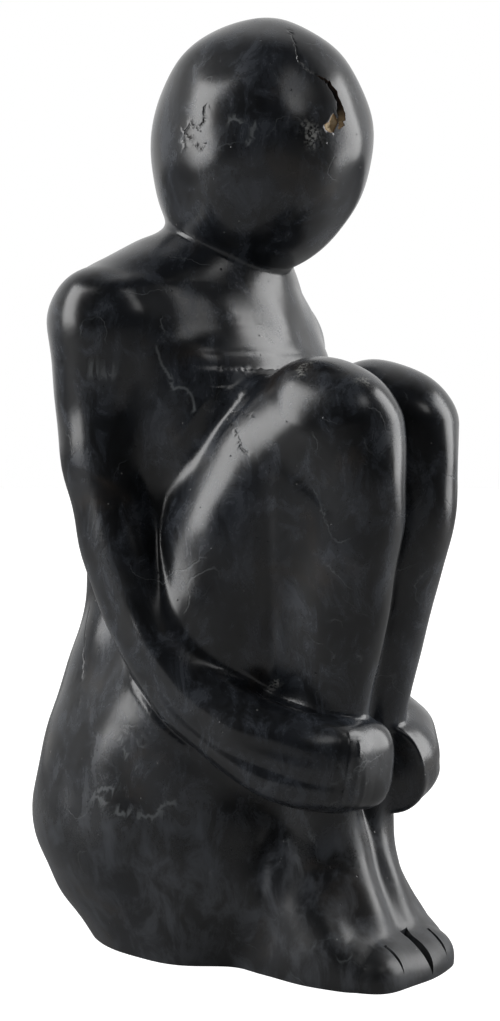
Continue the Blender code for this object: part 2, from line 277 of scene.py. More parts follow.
@dataclass
class Legs:
    """The haunches, drawn-up thighs, shins and feet, and the stone between them."""

    thigh: Stations = (
        (6.6, 0.5, 13.0, 9.4, 9.0),
        (6.8, -5.0, 26.0, 8.6, 9.0),
        (6.4, -9.6, 38.0, 8.0, 8.8),
        (6.0, -12.6, 47.6, 7.4, 8.8),
        (5.4, -17.2, 54.2, 6.2, 7.8),
        (5.1, -20.8, 57.4, 5.3, 6.0),
    )
    shin: Stations = (
        (4.8, -24.8, 56.8, 4.8, 6.0),
        (4.6, -24.3, 49.0, 4.6, 6.9),
        (4.1, -22.3, 38.0, 4.1, 6.4),
        (3.5, -20.5, 27.0, 3.5, 5.6),
        (3.3, -19.8, 15.0, 3.4, 4.5),
        (3.6, -20.6, 7.0, 3.8, 5.0),
    )
    web: Stations = (
        (0, -15.0, 9.0, 5.6, 8.4),
        (0, -14.8, 20.0, 5.6, 8.0),
        (0, -17.4, 36.0, 4.2, 8.2),
        (0, -19.2, 49.0, 4.2, 8.2),
        (0, -20.0, 54.0, 4.2, 7.2),
    )
    haunch: Stations = (
        (4.6, -3.6, -6.0, 6.6, 8.0),
        (5.2, -4.3, 2.0, 8.2, 10.2),
        (5.8, -5.4, 10.0, 8.8, 10.8),
        (6.2, -6.6, 18.0, 8.2, 10.0),
        (6.4, -8.2, 24.0, 6.4, 8.0),
    )
    foot: Stations = (
        (4.6, -18.5, 1.4, 4.6, 5.6),
        (4.7, -22.5, 1.2, 4.8, 6.2),
        (4.4, -25.3, 0.6, 4.5, 4.7),
        (3.9, -27.3, 0.2, 4.0, 3.6),
    )
    toes: Stations = (
        (-4.6, -25.6, 0.2, 3.5, 2.7),
        (-2.4, -27.2, 0.2, 3.7, 3.0),
        (0.0, -28.1, 0.2, 3.8, 3.1),
        (2.4, -27.9, 0.2, 3.7, 3.0),
        (4.5, -26.8, 0.2, 3.5, 2.7),
    )
    instep: Stations = (
        (1.8, -20.0, 15.0, 2.1, 3.4),
        (1.9, -22.2, 10.0, 2.5, 3.3),
        (2.2, -24.4, 5.6, 2.9, 3.0),
        (2.6, -26.6, 2.2, 3.4, 2.4),
    )
    heel: Stations = ((8.0, -9.0, 9.0, 3.8, 4.8), (6.4, -14.5, 9.0, 3.6, 4.4), (5.0, -19.5, 7.6, 3.4, 3.8))
    haunch_blend: float = 4.5
    leg_blend: float = 3.4                     # between thigh and shin, and wider in two places
    knee: Spot = (2.2, 38, 56)                 # how much wider, and the heights between which that comes in
    pit: Spot = (2.8, 41, 30)
    foot_blend: float = 3.0
    instep_blend: float = 1.6
    between_legs: float = 0.7
    low: Spot = (1.1, 20, 12)
    toes_blend: float = 1.8
    trunk_blend: float = 2.0
    seat: Spot = (2.8, 40, 22)

    def __post_init__(self) -> None:
        """Make the limbs once."""
        self.middle_limbs = Limb(self.web), Limb(self.toes, side=(0, 1, 0), square=2.2)
        below = Limb(self.foot, square=2.6), Limb(self.instep), Limb(self.heel)
        self.side_limbs = Limb(self.thigh), Limb(self.shin), *below, Limb(self.haunch)

    def form(self, points: np.ndarray, sides: tuple[np.ndarray, np.ndarray], trunk: np.ndarray) -> np.ndarray:
        """Join the legs to the trunk.

        Args:
            points: The points.
            sides: The points, and the points with left and right changed over.
            trunk: The trunk's field at the points.

        Returns:
            The field of the trunk and legs.
        """
        web, toes = (limb(points) for limb in self.middle_limbs)
        height = points[:, 2]
        knee = self.knee[0] * ramp(height, *self.knee[1:])
        pit, low, seat = (more * falling(height, *ends) for more, *ends in (self.pit, self.low, self.seat))
        legs = web
        for side in sides:
            thigh, shin, foot, instep, heel, haunch = (limb(side) for limb in self.side_limbs)
            trunk = joined(trunk, haunch, self.haunch_blend)
            leg = joined(thigh, shin, self.leg_blend + knee + pit)
            leg = joined(joined(leg, foot, self.foot_blend), heel, self.foot_blend)
            leg = joined(leg, instep, self.instep_blend)
            legs = joined(legs, leg, self.between_legs + low)
        legs = joined(legs, toes, self.toes_blend)
        return joined(trunk, legs, self.trunk_blend + seat)


@dataclass
class Arms:
    """Two arms that lie along the sides and close round the shins."""

    arm: Stations = (
        (14.5, 0.3, 66.6, 3.7, 4.7, 2.0),
        (15.1, 0.4, 59.0, 3.7, 4.7, 2.0),
        (14.9, -1.2, 48.0, 3.6, 4.2, 2.1),
        (13.8, -4.8, 37.0, 3.6, 4.0, 2.3),
        (12.6, -9.8, 30.0, 3.7, 4.0, 2.5),
        (11.5, -15.2, 26.0, 3.8, 4.3, 2.5),
        (9.6, -20.4, 23.4, 4.0, 4.8, 2.6),
        (6.6, -23.6, 22.3, 4.3, 4.9, 2.8),
        (4.0, -24.2, 22.1, 4.3, 4.9, 3.0),
    )
    across: Stations = (
        *((1, 0, 0),) * 4, (1, -0.2, 0), (0.9, -0.5, 0), (0.6, -0.8, 0), (0.1, -1, 0), (0, -1, 0),
    )
    left_hand_drop: float = 1.5
    left_square: float = 2.25
    left_shoulder: tuple[float, ...] = (14.1, 0.3, 65.6, 3.6, 4.6, 2.0)
    left_hand_end: Spot = (1.9, -25.1, 25.7)      # a place on the flat end that faces the right hand
    left_hand_way: Spot = (-0.952, -0.269, -0.148)
    lower_line: Stations = (
        (-12.0, 2.8, 35.6), (-15.7, -3.6, 32.7), (-15.8, -7.2, 29.2), (-15.5, -10.6, 26.4),
        (-14.9, -13.9, 24.0), (-13.9, -16.8, 21.8), (-12.9, -19.5, 20.2), (-11.4, -22.0, 19.0),
        (-8.6, -24.3, 17.9), (-2.5, -24.3, 16.5),
    )
    line_width: float = 0.42
    line_depth: float = 0.42
    blend: float = 1.3
    shoulder_more: float = 3.8                 # the shoulders are blended more, and the hands less
    hand_less: float = 0.7
    shoulder_heights: tuple[float, float] = (40, 64)
    hand_fronts: tuple[float, float] = (21, 24)    # how far to the front the hands begin
    cut_fronts: tuple[float, float] = (18, 22)

    def __post_init__(self) -> None:
        """Make the limbs once."""
        drop = np.linspace(0, 1, len(self.arm))**3 * self.left_hand_drop
        lowered = [
            (x, y, z - down, width, depth, min(square, self.left_square))
            for (x, y, z, width, depth, square), down in zip(self.arm, drop)
        ]
        self.left = Limb((self.left_shoulder, *lowered[1:]), side=self.across)
        self.right = Limb(self.arm, side=self.across)

    def limbs(self, sides: tuple[np.ndarray, np.ndarray]) -> tuple[np.ndarray, np.ndarray]:
        """The fields of the left and right arm, given the points and the points changed over.

        Args:
            sides: The points, and the points with left and right changed over.

        Returns:
            The left arm's field and the right arm's.
        """
        left, right = self.left(sides[0]), self.right(sides[1])
        beyond = (sides[0] - np.array(self.left_hand_end)) @ np.array(self.left_hand_way)
        front = ramp(-sides[0][:, 1], *self.cut_fronts)
        cut = -joined(-left, -beyond, 0.5)
        return left + (cut - left) * front, right

    def form(self, sides: tuple[np.ndarray, np.ndarray], body: np.ndarray) -> np.ndarray:
        """Join the arms to the body.

        Args:
            sides: The points, and the points with left and right changed over.
            body: The field of the trunk and legs at the points.

        Returns:
            The field of the body and arms.
        """
        front = ramp(-sides[0][:, 1], *self.hand_fronts)
        for side, arm in zip(sides, self.limbs(sides)):
            shoulder = ramp(side[:, 2], *self.shoulder_heights)
            body = joined(body, arm, self.blend + self.shoulder_more * shoulder - self.hand_less * front)
        return body


@dataclass
class FigureForm:
    """The whole carving as one field."""

    trunk: Trunk = field(default_factory=Trunk)
    head: Head = field(default_factory=Head)
    legs: Legs = field(default_factory=Legs)
    arms: Arms = field(default_factory=Arms)
    head_blend: float = 0.7
    batch: int = 6000

    def body(self, points: np.ndarray) -> np.ndarray:
        """The field of all but the arms."""
        upper = joined(self.trunk.form(points), self.head.form(points), self.head_blend)
        return self.legs.form(points, (points, points * MIRROR), upper)

    def part_of(self, points: np.ndarray) -> np.ndarray:
        """The field at a few thousand points."""
        return self.arms.form((points, points * MIRROR), self.body(points))

    def under_arm(self, points: np.ndarray) -> np.ndarray:
        """How deep the chisel line under each arm is cut at each point.

        Args:
            points: Places in hundredths of the height, one in a row.

        Returns:
            A depth for each point, in hundredths of the height.
        """
        depth = np.zeros(len(points))
        for number, side in enumerate((points, points * MIRROR)):
            guide = Stroke(self.arms.lower_line, Chisel.GROOVE, 1.0, 1.0)
            which, distance, place = guide.near(guide.line(), side * MIRROR, 3.0)
            if not len(which):
                continue
            p = points[which]
            arm = self.arms.limbs((p, p * MIRROR))[number]
            apart = (arm - self.body(p)) / self.arms.line_width
            ends = ramp(place, 0, 0.25) * ramp(1 - place, 0, 0.12) * falling(distance, 3.0, 1.8)
            depth[which] += self.arms.line_depth * ends * np.exp(-apart**2)
        return depth

    def __call__(self, points: np.ndarray) -> np.ndarray:
        """The field at each point, negative inside the stone, worked out in batches side by side.

        Args:
            points: Places in hundredths of the height, one in a row.

        Returns:
            The field's value at each point, negative inside.
        """
        batches = [points[i:i + self.batch] for i in range(0, len(points), self.batch)]
        with ThreadPoolExecutor() as pool:
            return np.concatenate(list(pool.map(self.part_of, batches)))

    def slope(self, points: np.ndarray, level: np.ndarray, step: float = 0.03) -> np.ndarray:
        """How the field rises along X, Y and Z, divided by its steepness squared."""
        rise = np.stack([self(points + way * step) - level for way in np.eye(3)], 1) / step
        return rise / np.maximum((rise**2).sum(1), 0.15)[:, None]

    def lumps(self) -> Iterator[tuple[np.ndarray, float]]:
        """Balls that together fill the rough block, as centres and radii.

        Yields:
            The centre and the radius of each ball.
        """
        twice = (self.arms.left, *self.legs.side_limbs)
        for limb in (*self.trunk.limbs, *self.legs.middle_limbs, *twice):
            for centre, radius in zip(limb.middle[::3], limb.radii.max(1)[::3]):
                yield centre, 0.9 * radius
                if any(limb is other for other in twice):
                    yield centre * (-1, 1, 1), 0.9 * radius
        yield np.array(self.head.centre), self.head.half_width


class Chisel(Enum):
    """What a stroke leaves on the stone: which way it moves the surface."""

    GROOVE = -1
    RIDGE = 1
    NONE = 0


class Mark(Enum):
    """The marks in the stone, each kept as an attribute of the mesh."""

    VEIN = "vein"
    CRACK = "crack"
    PALE = "pale"


@dataclass(frozen=True)
class Stroke:
    """One line along the surface that is cut in or left proud, and may show in the colour."""

    path: Stations
    chisel: Chisel
    width: float
    depth: float
    fade: float = 0.15
    mark: Mark | None = None
    wander: float = 0.0

    def line(self) -> np.ndarray:
        """The smooth line through the path, or one that wanders off it like a crack.

        Returns:
            Places along the line, one in a row.
        """
        count = 12 * len(self.path)
        line = through(self.path, np.linspace(0, len(self.path) - 1, count))
        if self.wander:
            draw = np.random.default_rng(int(1000 * abs(sum(self.path[0]))))
            off = np.cumsum(draw.normal(size=(count, 3)), 0)
            off -= np.linspace(0, 1, count)[:, None] * off[-1]
            line = line + off * self.wander / 3 + draw.normal(size=(count, 3)) * self.wander / 4
        return line

    def near(self, line: np.ndarray, points: np.ndarray, reach: float) -> tuple[np.ndarray, ...]:
        """Find the points by the stroke.

        Args:
            line: The stroke's line, as it lies on the stone.
            points: The points.
            reach: How far from the line to look.

        Returns:
            Which points are within reach, their distance from the line, and how far along it
            each one lies, from 0 to 1.
        """
        box = ((points > line.min(0) - reach) & (points < line.max(0) + reach)).all(1)
        which = np.flatnonzero(box)
        p = points[which]
        distance = np.full(len(p), np.inf)
        place = np.zeros(len(p))
        for number, (start, end) in enumerate(zip(line, line[1:])):
            step = end - start
            share = np.clip((p - start) @ step / (step @ step + 1e-12), 0, 1)
            here = np.linalg.norm(p - start - share[:, None] * step, axis=1)
            closer = here < distance
            distance[closer] = here[closer]
            place[closer] = (number + share[closer]) / (len(line) - 1)
        close = distance < reach
        return which[close], distance[close], place[close]

    def strength(self, line: np.ndarray, points: np.ndarray) -> np.ndarray:
        """1 on the line and fading to 0 beside it and at its ends, for each point.

        Args:
            line: The line on the form.
            points: Places in hundredths of the height, one in a row.

        Returns:
            The stroke's strength at each point.
        """
        out = np.zeros(len(points))
        which, distance, place = self.near(line, points, 3 * self.width)
        ends = ramp(place, 0, self.fade) * ramp(1 - place, 0, self.fade)
        out[which] = ends * np.exp(-(distance / self.width)**2)
        return out

    def height(self, line: np.ndarray, points: np.ndarray) -> np.ndarray:
        """How far the stroke moves each point out of the surface."""
        return self.chisel.value * self.depth * self.strength(line, points)

    def mirrored(self) -> "Stroke":
        """The same stroke on the other side."""
        return replace(self, path=tuple((-x, y, z) for x, y, z in self.path))


def on_head(*rows: tuple[float, float]) -> Stations:
    """Places on the head, given as turns to the figure's right and rises in degrees."""
    return tuple(tuple(float(part) for part in Head().surface(*row)[0]) for row in rows)


def ridge(*path: Spot, width: float, depth: float, fade: float = 0.3) -> Stroke:
    """A soft ridge that is left proud."""
    return Stroke(path, Chisel.RIDGE, width, depth, fade)


def groove(*path: Spot, width: float, depth: float, fade: float = 0.3) -> Stroke:
    """A soft hollow."""
    return Stroke(path, Chisel.GROOVE, width, depth, fade)


def vein(*path: Spot, width: float = 0.12, wander: float = 0.08, fade: float = 0.1) -> Stroke:
    """A thin pale line in the stone."""
    return Stroke(path, Chisel.NONE, width, 0.0, fade, Mark.VEIN, wander)


def crack(*path: Spot, width: float = 0.08, depth: float = 0.05, wander: float = 0.12) -> Stroke:
    """A fine dark crack."""
    return Stroke(path, Chisel.GROOVE, width, depth, 0.1, Mark.CRACK, wander)


def crumbs(*path: Spot, width: float = 0.40, wander: float = 0.3) -> Stroke:
    """A patch of small pale chips."""
    return Stroke(path, Chisel.NONE, width, 0.0, 0.3, Mark.PALE, wander)


@dataclass
class Relief:
    """The chisel work that is finer than the forms: soft planes, creases, cracks and marks."""

    both_sides: tuple[Stroke, ...] = (
        # the soft ridge along the forearm, and the plane under it
        ridge(
            (-17.7, -4.5, 42.8), (-17.2, -6.4, 37.7), (-16.6, -8.7, 33.7), (-16.0, -11.5, 30.6),
            (-15.3, -14.9, 28.1), (-14.3, -18.6, 26.5), (-12.9, -21.9, 25.7), (-11.0, -24.9, 24.8),
            (-8.4, -27.3, 24.3), width=1.1, depth=0.30, fade=0.2,
        ),
        groove(
            (-16.8, -7.5, 33.2), (-16.2, -10.7, 28.5), (-15.6, -14.5, 25.4), (-14.6, -18.8, 23.4),
            (-12.5, -23.5, 21.8), (-9.9, -26.5, 21.0), (-5.2, -28.3, 20.3), width=0.8, depth=0.32, fade=0.25,
        ),
        # the thigh's rim towards the chest, and the hollow beside it
        ridge(
            (-12.7, -8.0, 53.9), (-12.5, -9.2, 55.5), (-12.1, -10.5, 57.3), (-11.5, -11.4, 59.0),
            (-10.6, -12.3, 60.4), width=0.55, depth=0.22,
        ),
        groove(
            (-12.3, -9.6, 52.0), (-11.9, -11.6, 55.1), (-11.1, -13.2, 57.7), (-9.7, -14.9, 59.7),
            (-8.6, -16.6, 60.9), width=1.1, depth=0.26,
        ),
        # the valley between thigh and shin
        groove(
            (-11.4, -19.9, 53.2), (-10.9, -19.3, 47.1), (-10.1, -18.7, 42.0), (-9.0, -18.0, 36.8),
            (-7.7, -17.2, 32.5), (-6.7, -16.6, 29.4), width=0.7, depth=0.30,
        ),
        # between the haunch and the ankle
        groove(
            (-9.4, -17.2, 7.0), (-9.3, -17.2, 9.6), (-8.9, -17.2, 12.8), (-8.2, -17.3, 15.7),
            width=0.7, depth=0.22,
        ),
    )
    one_side: tuple[Stroke, ...] = (
        # the fold at the armpit
        groove(
            (-15.1, -6.0, 64.1), (-15.6, -5.3, 61.3), (-16.0, -4.7, 58.2), (-16.2, -4.5, 54.1),
            width=0.9, depth=0.50, fade=0.35,
        ),
        # the pale chip over the forearm, where thigh and shin meet
        crumbs((-7.2, -17.0, 29.6), (-7.1, -17.5, 30.3), (-7.1, -18.0, 31.0), width=0.30, wander=0.2),
        # the veins on the chest and shoulder
        vein(
            (-14.2, -6.6, 65.2), (-13.8, -7.0, 64.1), (-13.6, -7.6, 62.6), (-13.4, -8.3, 61.3),
            (-13.3, -8.9, 60.3), (-12.8, -9.8, 60.3), (-12.2, -10.6, 58.8), (-12.3, -10.3, 57.6),
            width=0.13, wander=0.10,
        ),
        vein((-18.8, -1.2, 62.9), (-18.3, -2.3, 62.2), (-17.6, -3.5, 61.7), (-16.7, -4.4, 61.7)),
        vein((-3.9, -12.1, 67.1), (-3.3, -12.7, 66.0), (-2.5, -13.5, 65.0), fade=0.15),
        # the cracks on the thigh and behind the arm
        crack(
            (-10.3, -13.3, 57.4), (-10.9, -14.8, 56.7), (-11.5, -15.8, 55.5), (-11.7, -16.5, 54.5),
            (-11.8, -17.5, 53.5), width=0.10, depth=0.06, wander=0.10,
        ),
        crack((-10.0, -13.5, 58.0), (-10.6, -15.6, 57.8), (-10.9, -17.4, 57.5)),
        crack(
            (-11.1, 5.4, 37.5), (-12.0, 5.2, 33.2), (-13.5, 4.4, 29.1), (-14.8, 3.5, 26.1),
            depth=0.04, wander=0.22,
        ),
        # the veins on the haunch
        vein(
            (-17.1, 0.2, 18.8), (-17.1, -2.0, 17.5), (-16.9, -3.9, 16.5), (-16.4, -5.6, 16.0),
            (-15.6, -7.7, 16.4), (-14.9, -9.1, 17.6), (-14.1, -10.5, 17.3), width=0.14, wander=0.30,
        ),
        vein(
            (-17.3, -0.7, 17.3), (-17.1, -1.7, 18.5), (-16.8, -2.9, 19.1), (-16.7, -4.2, 18.6),
            width=0.13, wander=0.25,
        ),
        vein((-16.0, -3.6, 24.4), (-16.2, -4.3, 22.7), (-16.2, -5.4, 21.2), (-15.9, -6.6, 20.8), wander=0.15),
        # pale patches on the knee
        crumbs((-7.0, -27.0, 61.5), (-6.7, -27.8, 61.1), (-6.2, -28.7, 60.5), width=0.45),
        crumbs((-9.1, -21.7, 61.9), (-8.3, -22.1, 62.5), (-7.4, -22.8, 62.9)),
        crumbs((-7.6, -15.8, 62.2), (-6.4, -17.0, 62.8), (-5.4, -18.0, 63.1), width=0.35),
        # the collar's soft ridge
        ridge(
            (-18.8, -1.8, 69.2), (-17.4, -3.3, 70.1), (-14.9, -4.5, 70.5), (-11.6, -5.7, 70.6),
            (-8.5, -8.5, 70.0), width=1.3, depth=0.30, fade=0.35,
        ),
        # the hairline crack up to the crown, the squiggle by the temple and the bruise beside the flake
        crack(
            *on_head((20.5, 27.5), (24.5, 30.0), (27.9, 35.9), (27.2, 48.7), (25.8, 60.7)),
            width=0.07, wander=0.14,
        ),
        crack(
            *on_head(
                (97.0, -10.6), (97.2, -3.0), (93.6, 3.7), (88.0, -0.6), (82.0, 2.6), (83.5, 9.8),
                (77.0, 12.5),
            ), width=0.09, depth=0.07, wander=0.16,
        ),
        crack(*on_head((100.5, 3.5), (93.0, -3.4), (86.6, -9.0), (81.0, -6.0)), depth=0.06, wander=0.16),
        vein(*on_head((69.5, 2.5), (66.5, 5.0), (63.0, 3.5), (62.0, 1.0)), width=0.11, fade=0.2),
        vein(*on_head((60.8, -6.0), (58.0, -9.0), (56.0, -1.0), (54.0, 4.0)), width=0.11, fade=0.2),
        crumbs(*on_head((30.5, -1.6), (27.0, -2.4), (23.0, -5.2)), width=0.85),
    )
    wave_count: int = 14
    wave_height: float = 0.035
    wave_lengths: tuple[float, float] = (5.0, 13.0)

    def __post_init__(self) -> None:
        """List every stroke once."""
        other_side = tuple(stroke.mirrored() for stroke in self.both_sides)
        self.strokes = self.both_sides + other_side + self.one_side
        self.lines = [stroke.line() for stroke in self.strokes]

    def lay_on(self, form: FigureForm) -> None:
        """Bring every stroke's line down onto the form.

        Args:
            form: The figure's form.
        """
        line = np.concatenate(self.lines)
        ends = np.cumsum([len(part) for part in self.lines])[:-1]
        for _ in range(3):
            level = form(line)
            line = line - np.clip(level, -2, 2)[:, None] * form.slope(line, level)
        self.lines = np.split(line, ends)

    def unevenness(self, points: np.ndarray) -> np.ndarray:
        """The slight waves that hand rubbing leaves.

        Args:
            points: Places in hundredths of the height, one in a row.

        Returns:
            How far each point stands out.
        """
        draw = np.random.default_rng(7)
        out = np.zeros(len(points))
        for _ in range(self.wave_count):
            way = draw.normal(size=3)
            way *= 2 * math.pi / draw.uniform(*self.wave_lengths) / np.linalg.norm(way)
            out += self.wave_height * np.sin(points @ way + draw.uniform(0, 2 * math.pi))
        return out

    def height(self, points: np.ndarray) -> np.ndarray:
        """How far all the strokes and waves move each point out of the surface."""
        strokes = zip(self.strokes, self.lines)
        return self.unevenness(points) + sum(stroke.height(line, points) for stroke, line in strokes)

    def close_to(self, points: np.ndarray, fine_only: bool) -> np.ndarray:
        """Which points lie so close to a stroke that the mesh has to be finer there.

        Args:
            points: Places in hundredths of the height, one in a row.
            fine_only: Whether only the thin strokes count.

        Returns:
            Yes or no for each point.
        """
        close = np.zeros(len(points), bool)
        for stroke, line in zip(self.strokes, self.lines):
            if stroke.width < 0.5 or not fine_only:
                close[stroke.near(line, points, 1.5 * stroke.width + 0.3)[0]] = True
        return close

    def marks(self, points: np.ndarray) -> dict[Mark, np.ndarray]:
        """How strongly each mark shows at each point.

        Args:
            points: Places in hundredths of the height, one in a row.

        Returns:
            The strength of each mark at each point.
        """
        shown = {mark: np.zeros(len(points)) for mark in Mark}
        for stroke, line in zip(self.strokes, self.lines):
            if stroke.mark:
                shown[stroke.mark] = np.maximum(shown[stroke.mark], stroke.strength(line, points))
        return shown


@dataclass
class Blade:
    """A wedge with a sharp lower edge that is taken away from the stone."""

    name: str
    tops: np.ndarray
    bottoms: np.ndarray
    widths: np.ndarray
    across: np.ndarray

    def build(self) -> Thing:
        """Make the blade: a three-cornered end that is extruded from station to station.

        Returns:
            The blade.
        """
        halves = self.across / np.linalg.norm(self.across, axis=1)[:, None] * self.widths[:, None] / 2
        stations = np.stack([self.tops + halves, self.tops - halves, self.bottoms], 1) * SHARE
        work = bmesh.new()
        corners = [work.verts.new(place) for place in stations[0]]
        work.faces.new(corners)
        for station in stations[1:]:
            edges = [work.edges.get((corners[i], corners[i - 1])) for i in range(3)]
            made = bmesh.ops.extrude_edge_only(work, edges=edges)["geom"]
            fresh = [part for part in made if isinstance(part, bmesh.types.BMVert)]
            corners = [min(fresh, key=lambda vert, old=old: (vert.co - old.co).length) for old in corners]
            for vert, place in zip(corners, station):
                vert.co = place
        work.faces.new(corners)
        bmesh.ops.triangulate(work, faces=work.faces)
        bmesh.ops.recalc_face_normals(work, faces=work.faces)
        if work.calc_volume(signed=True) < 0:
            bmesh.ops.reverse_faces(work, faces=work.faces)
        return object_of(work, self.name)


@dataclass
class ToeCuts:
    """The saw cuts between the toes: the x, the y of the back end and the width of each one."""

    cuts: Stations = ((-3.9, -28.9, 0.80), (0.6, -28.1, 1.25), (4.0, -28.9, 0.95))
    bottom: float = 0.9
    length: float = 5.5
    top: float = 5.6
    back_rise: float = 2.6                     # how far the bottom lies higher at the back end
    front_drop: float = 2.0                    # and lower at the front end
    flare: tuple[float, float] = (2.2, 4.2)    # the widths at the top, at the back and the front

    def tools(self) -> Iterator[Thing]:
        """One blade for each cut, which opens to the front and slopes down from the instep.

        Yields:
            The blades.
        """
        for number, (x, back, width) in enumerate(self.cuts):
            front = back - self.length
            tops = np.array([(x, back, self.top), (x, front, self.top)])
            ends = (x, back, self.bottom + self.back_rise), (x, front, self.bottom - self.front_drop)
            widths = width * np.array(self.flare)
            yield Blade(f"toe_cut_{number}", tops, np.array(ends), widths, np.array([(1, 0, 0)] * 2)).build()


@dataclass
class Fissure:
    """The natural crack in the head, with a flake broken off beside its lower end.

    A row is the turn to the figure's right, the rise and the width, in degrees and hundredths.
    """

    crack: Stations = (
        (21.5, 27.5, 0.12), (18.5, 25.8, 0.28), (15.6, 24.0, 0.46), (13.6, 21.4, 0.60), (12.0, 18.0, 0.62),
        (10.9, 14.0, 0.66), (10.0, 10.0, 0.86), (9.4, 6.4, 1.10), (9.9, 3.0, 0.90), (11.2, 0.6, 0.45),
    )
    flake: Stations = ((23.4, -0.6), (18.2, 4.6), (14.0, 11.0), (9.8, 4.6), (13.6, -4.2), (18.6, -3.4))
    flake_bottom: tuple[float, float] = (14.2, 2.2)
    crack_depth: float = 1.5
    flake_depth: float = 0.70
    raggedness: float = 0.10
    above: float = 0.15                        # how far the blades stand out of the head
    skin: float = 0.06                         # what lies deeper than this is broken stone
    flake_reach: tuple[float, float] = (2.4, 1.6)

    def crack_blade(self, head: Head, count: int = 26) -> Thing:
        """Make the blade that cuts the crack, with ragged edges.

        Args:
            head: The head that is cut.
            count: How many stations the blade has.

        Returns:
            The blade.
        """
        draw = np.random.default_rng(5)
        places = np.linspace(0, len(self.crack) - 1, count)
        table = through(self.crack, places)
        along = np.gradient(table[:, :2], axis=0)
        table[1:-1, :2] += draw.normal(size=(count - 2, 2)) * 4 * self.raggedness
        spots, rays = (np.array(part) for part in zip(*(head.surface(*row[:2]) for row in table)))
        swell = np.sin(np.pi * (np.arange(count) + 0.5) / count)
        deep = self.crack_depth * swell * draw.uniform(0.85, 1.15, count)
        widths = np.maximum(table[:, 2], 0.06) * draw.uniform(0.8, 1.2, count) * (1 + self.above / deep)
        level = np.cross(rays, (0, 0, 1))
        across = along[:, 1:] * level - along[:, :1] * np.cross(level, rays)
        return Blade("crack", spots + rays * self.above, spots - rays * deep[:, None], widths, across).build()

    def flake_tool(self, head: Head) -> Thing:
        """Make the shape of the flake that broke off: a ragged shallow pyramid, point down.

        Args:
            head: The head that is cut.

        Returns:
            The flake's shape.
        """
        draw = np.random.default_rng(3)
        work = bmesh.new()
        corners = (head.surface(*row) for row in self.flake)
        rim = [work.verts.new(spot + ray * 1.6 * self.above) for spot, ray in corners]
        spot, ray = head.surface(*self.flake_bottom)
        lid = work.verts.new(spot + ray * 3 * self.above)
        point = work.verts.new(spot - ray * self.flake_depth)
        for corner, following in zip(rim, rim[1:] + rim[:1]):
            work.faces.new((corner, following, lid))
            work.faces.new((following, corner, point))
        bmesh.ops.subdivide_edges(work, edges=work.edges, cuts=3, use_grid_fill=True)
        bmesh.ops.triangulate(work, faces=work.faces)
        for vert in work.verts:
            vert.co = (vert.co + Vector(draw.normal(size=3)) * 0.4 * self.raggedness) * SHARE
        bmesh.ops.recalc_face_normals(work, faces=work.faces)
        return object_of(work, "flake")

    def tools(self, head: Head) -> Iterator[Thing]:
        """The flake's shape and then the crack's blade."""
        yield self.flake_tool(head)
        yield self.crack_blade(head)


def object_of(work: bmesh.types.BMesh, name: str) -> Thing:
    """Turn a finished bmesh into an object in the scene, and free it.

    Args:
        work: The finished bmesh.
        name: The object's name.

    Returns:
        The new object.
    """
    mesh = bpy.data.meshes.new(name)
    work.to_mesh(mesh)
    work.free()
    made = bpy.data.objects.new(name, mesh)
    bpy.context.scene.collection.objects.link(made)
    return made


@contextmanager
def edited(mesh: Mesh) -> Iterator[bmesh.types.BMesh]:
    """Open a mesh as a bmesh, and put what is changed back.

    Args:
        mesh: The mesh that is changed.

    Yields:
        The mesh as a bmesh, to be changed.
    """
    work = bmesh.new()
    work.from_mesh(mesh)
    yield work
    work.to_mesh(mesh)
    work.free()


def worked_in(thing: Thing) -> Mesh:
    """Work the object's modifiers into its mesh, and return the mesh.

    Args:
        thing: The object with the modifiers.

    Returns:
        The object's new mesh.
    """
    graph = bpy.context.evaluated_depsgraph_get()
    mesh = bpy.data.meshes.new_from_object(thing.evaluated_get(graph))
    thing.modifiers.clear()
    thing.data = mesh
    return mesh


def corner_places(mesh: Mesh) -> np.ndarray:
    """The mesh's vertices in metres, one in a row.

    Args:
        mesh: The mesh.

    Returns:
        Three numbers for each vertex.
    """
    flat = np.empty(len(mesh.vertices) * 3)
    mesh.vertices.foreach_get("co", flat)
    return flat.reshape(-1, 3)


def triangles(mesh: Mesh) -> int:
    """How many triangles the mesh has."""
    mesh.calc_loop_triangles()
    return len(mesh.loop_triangles)


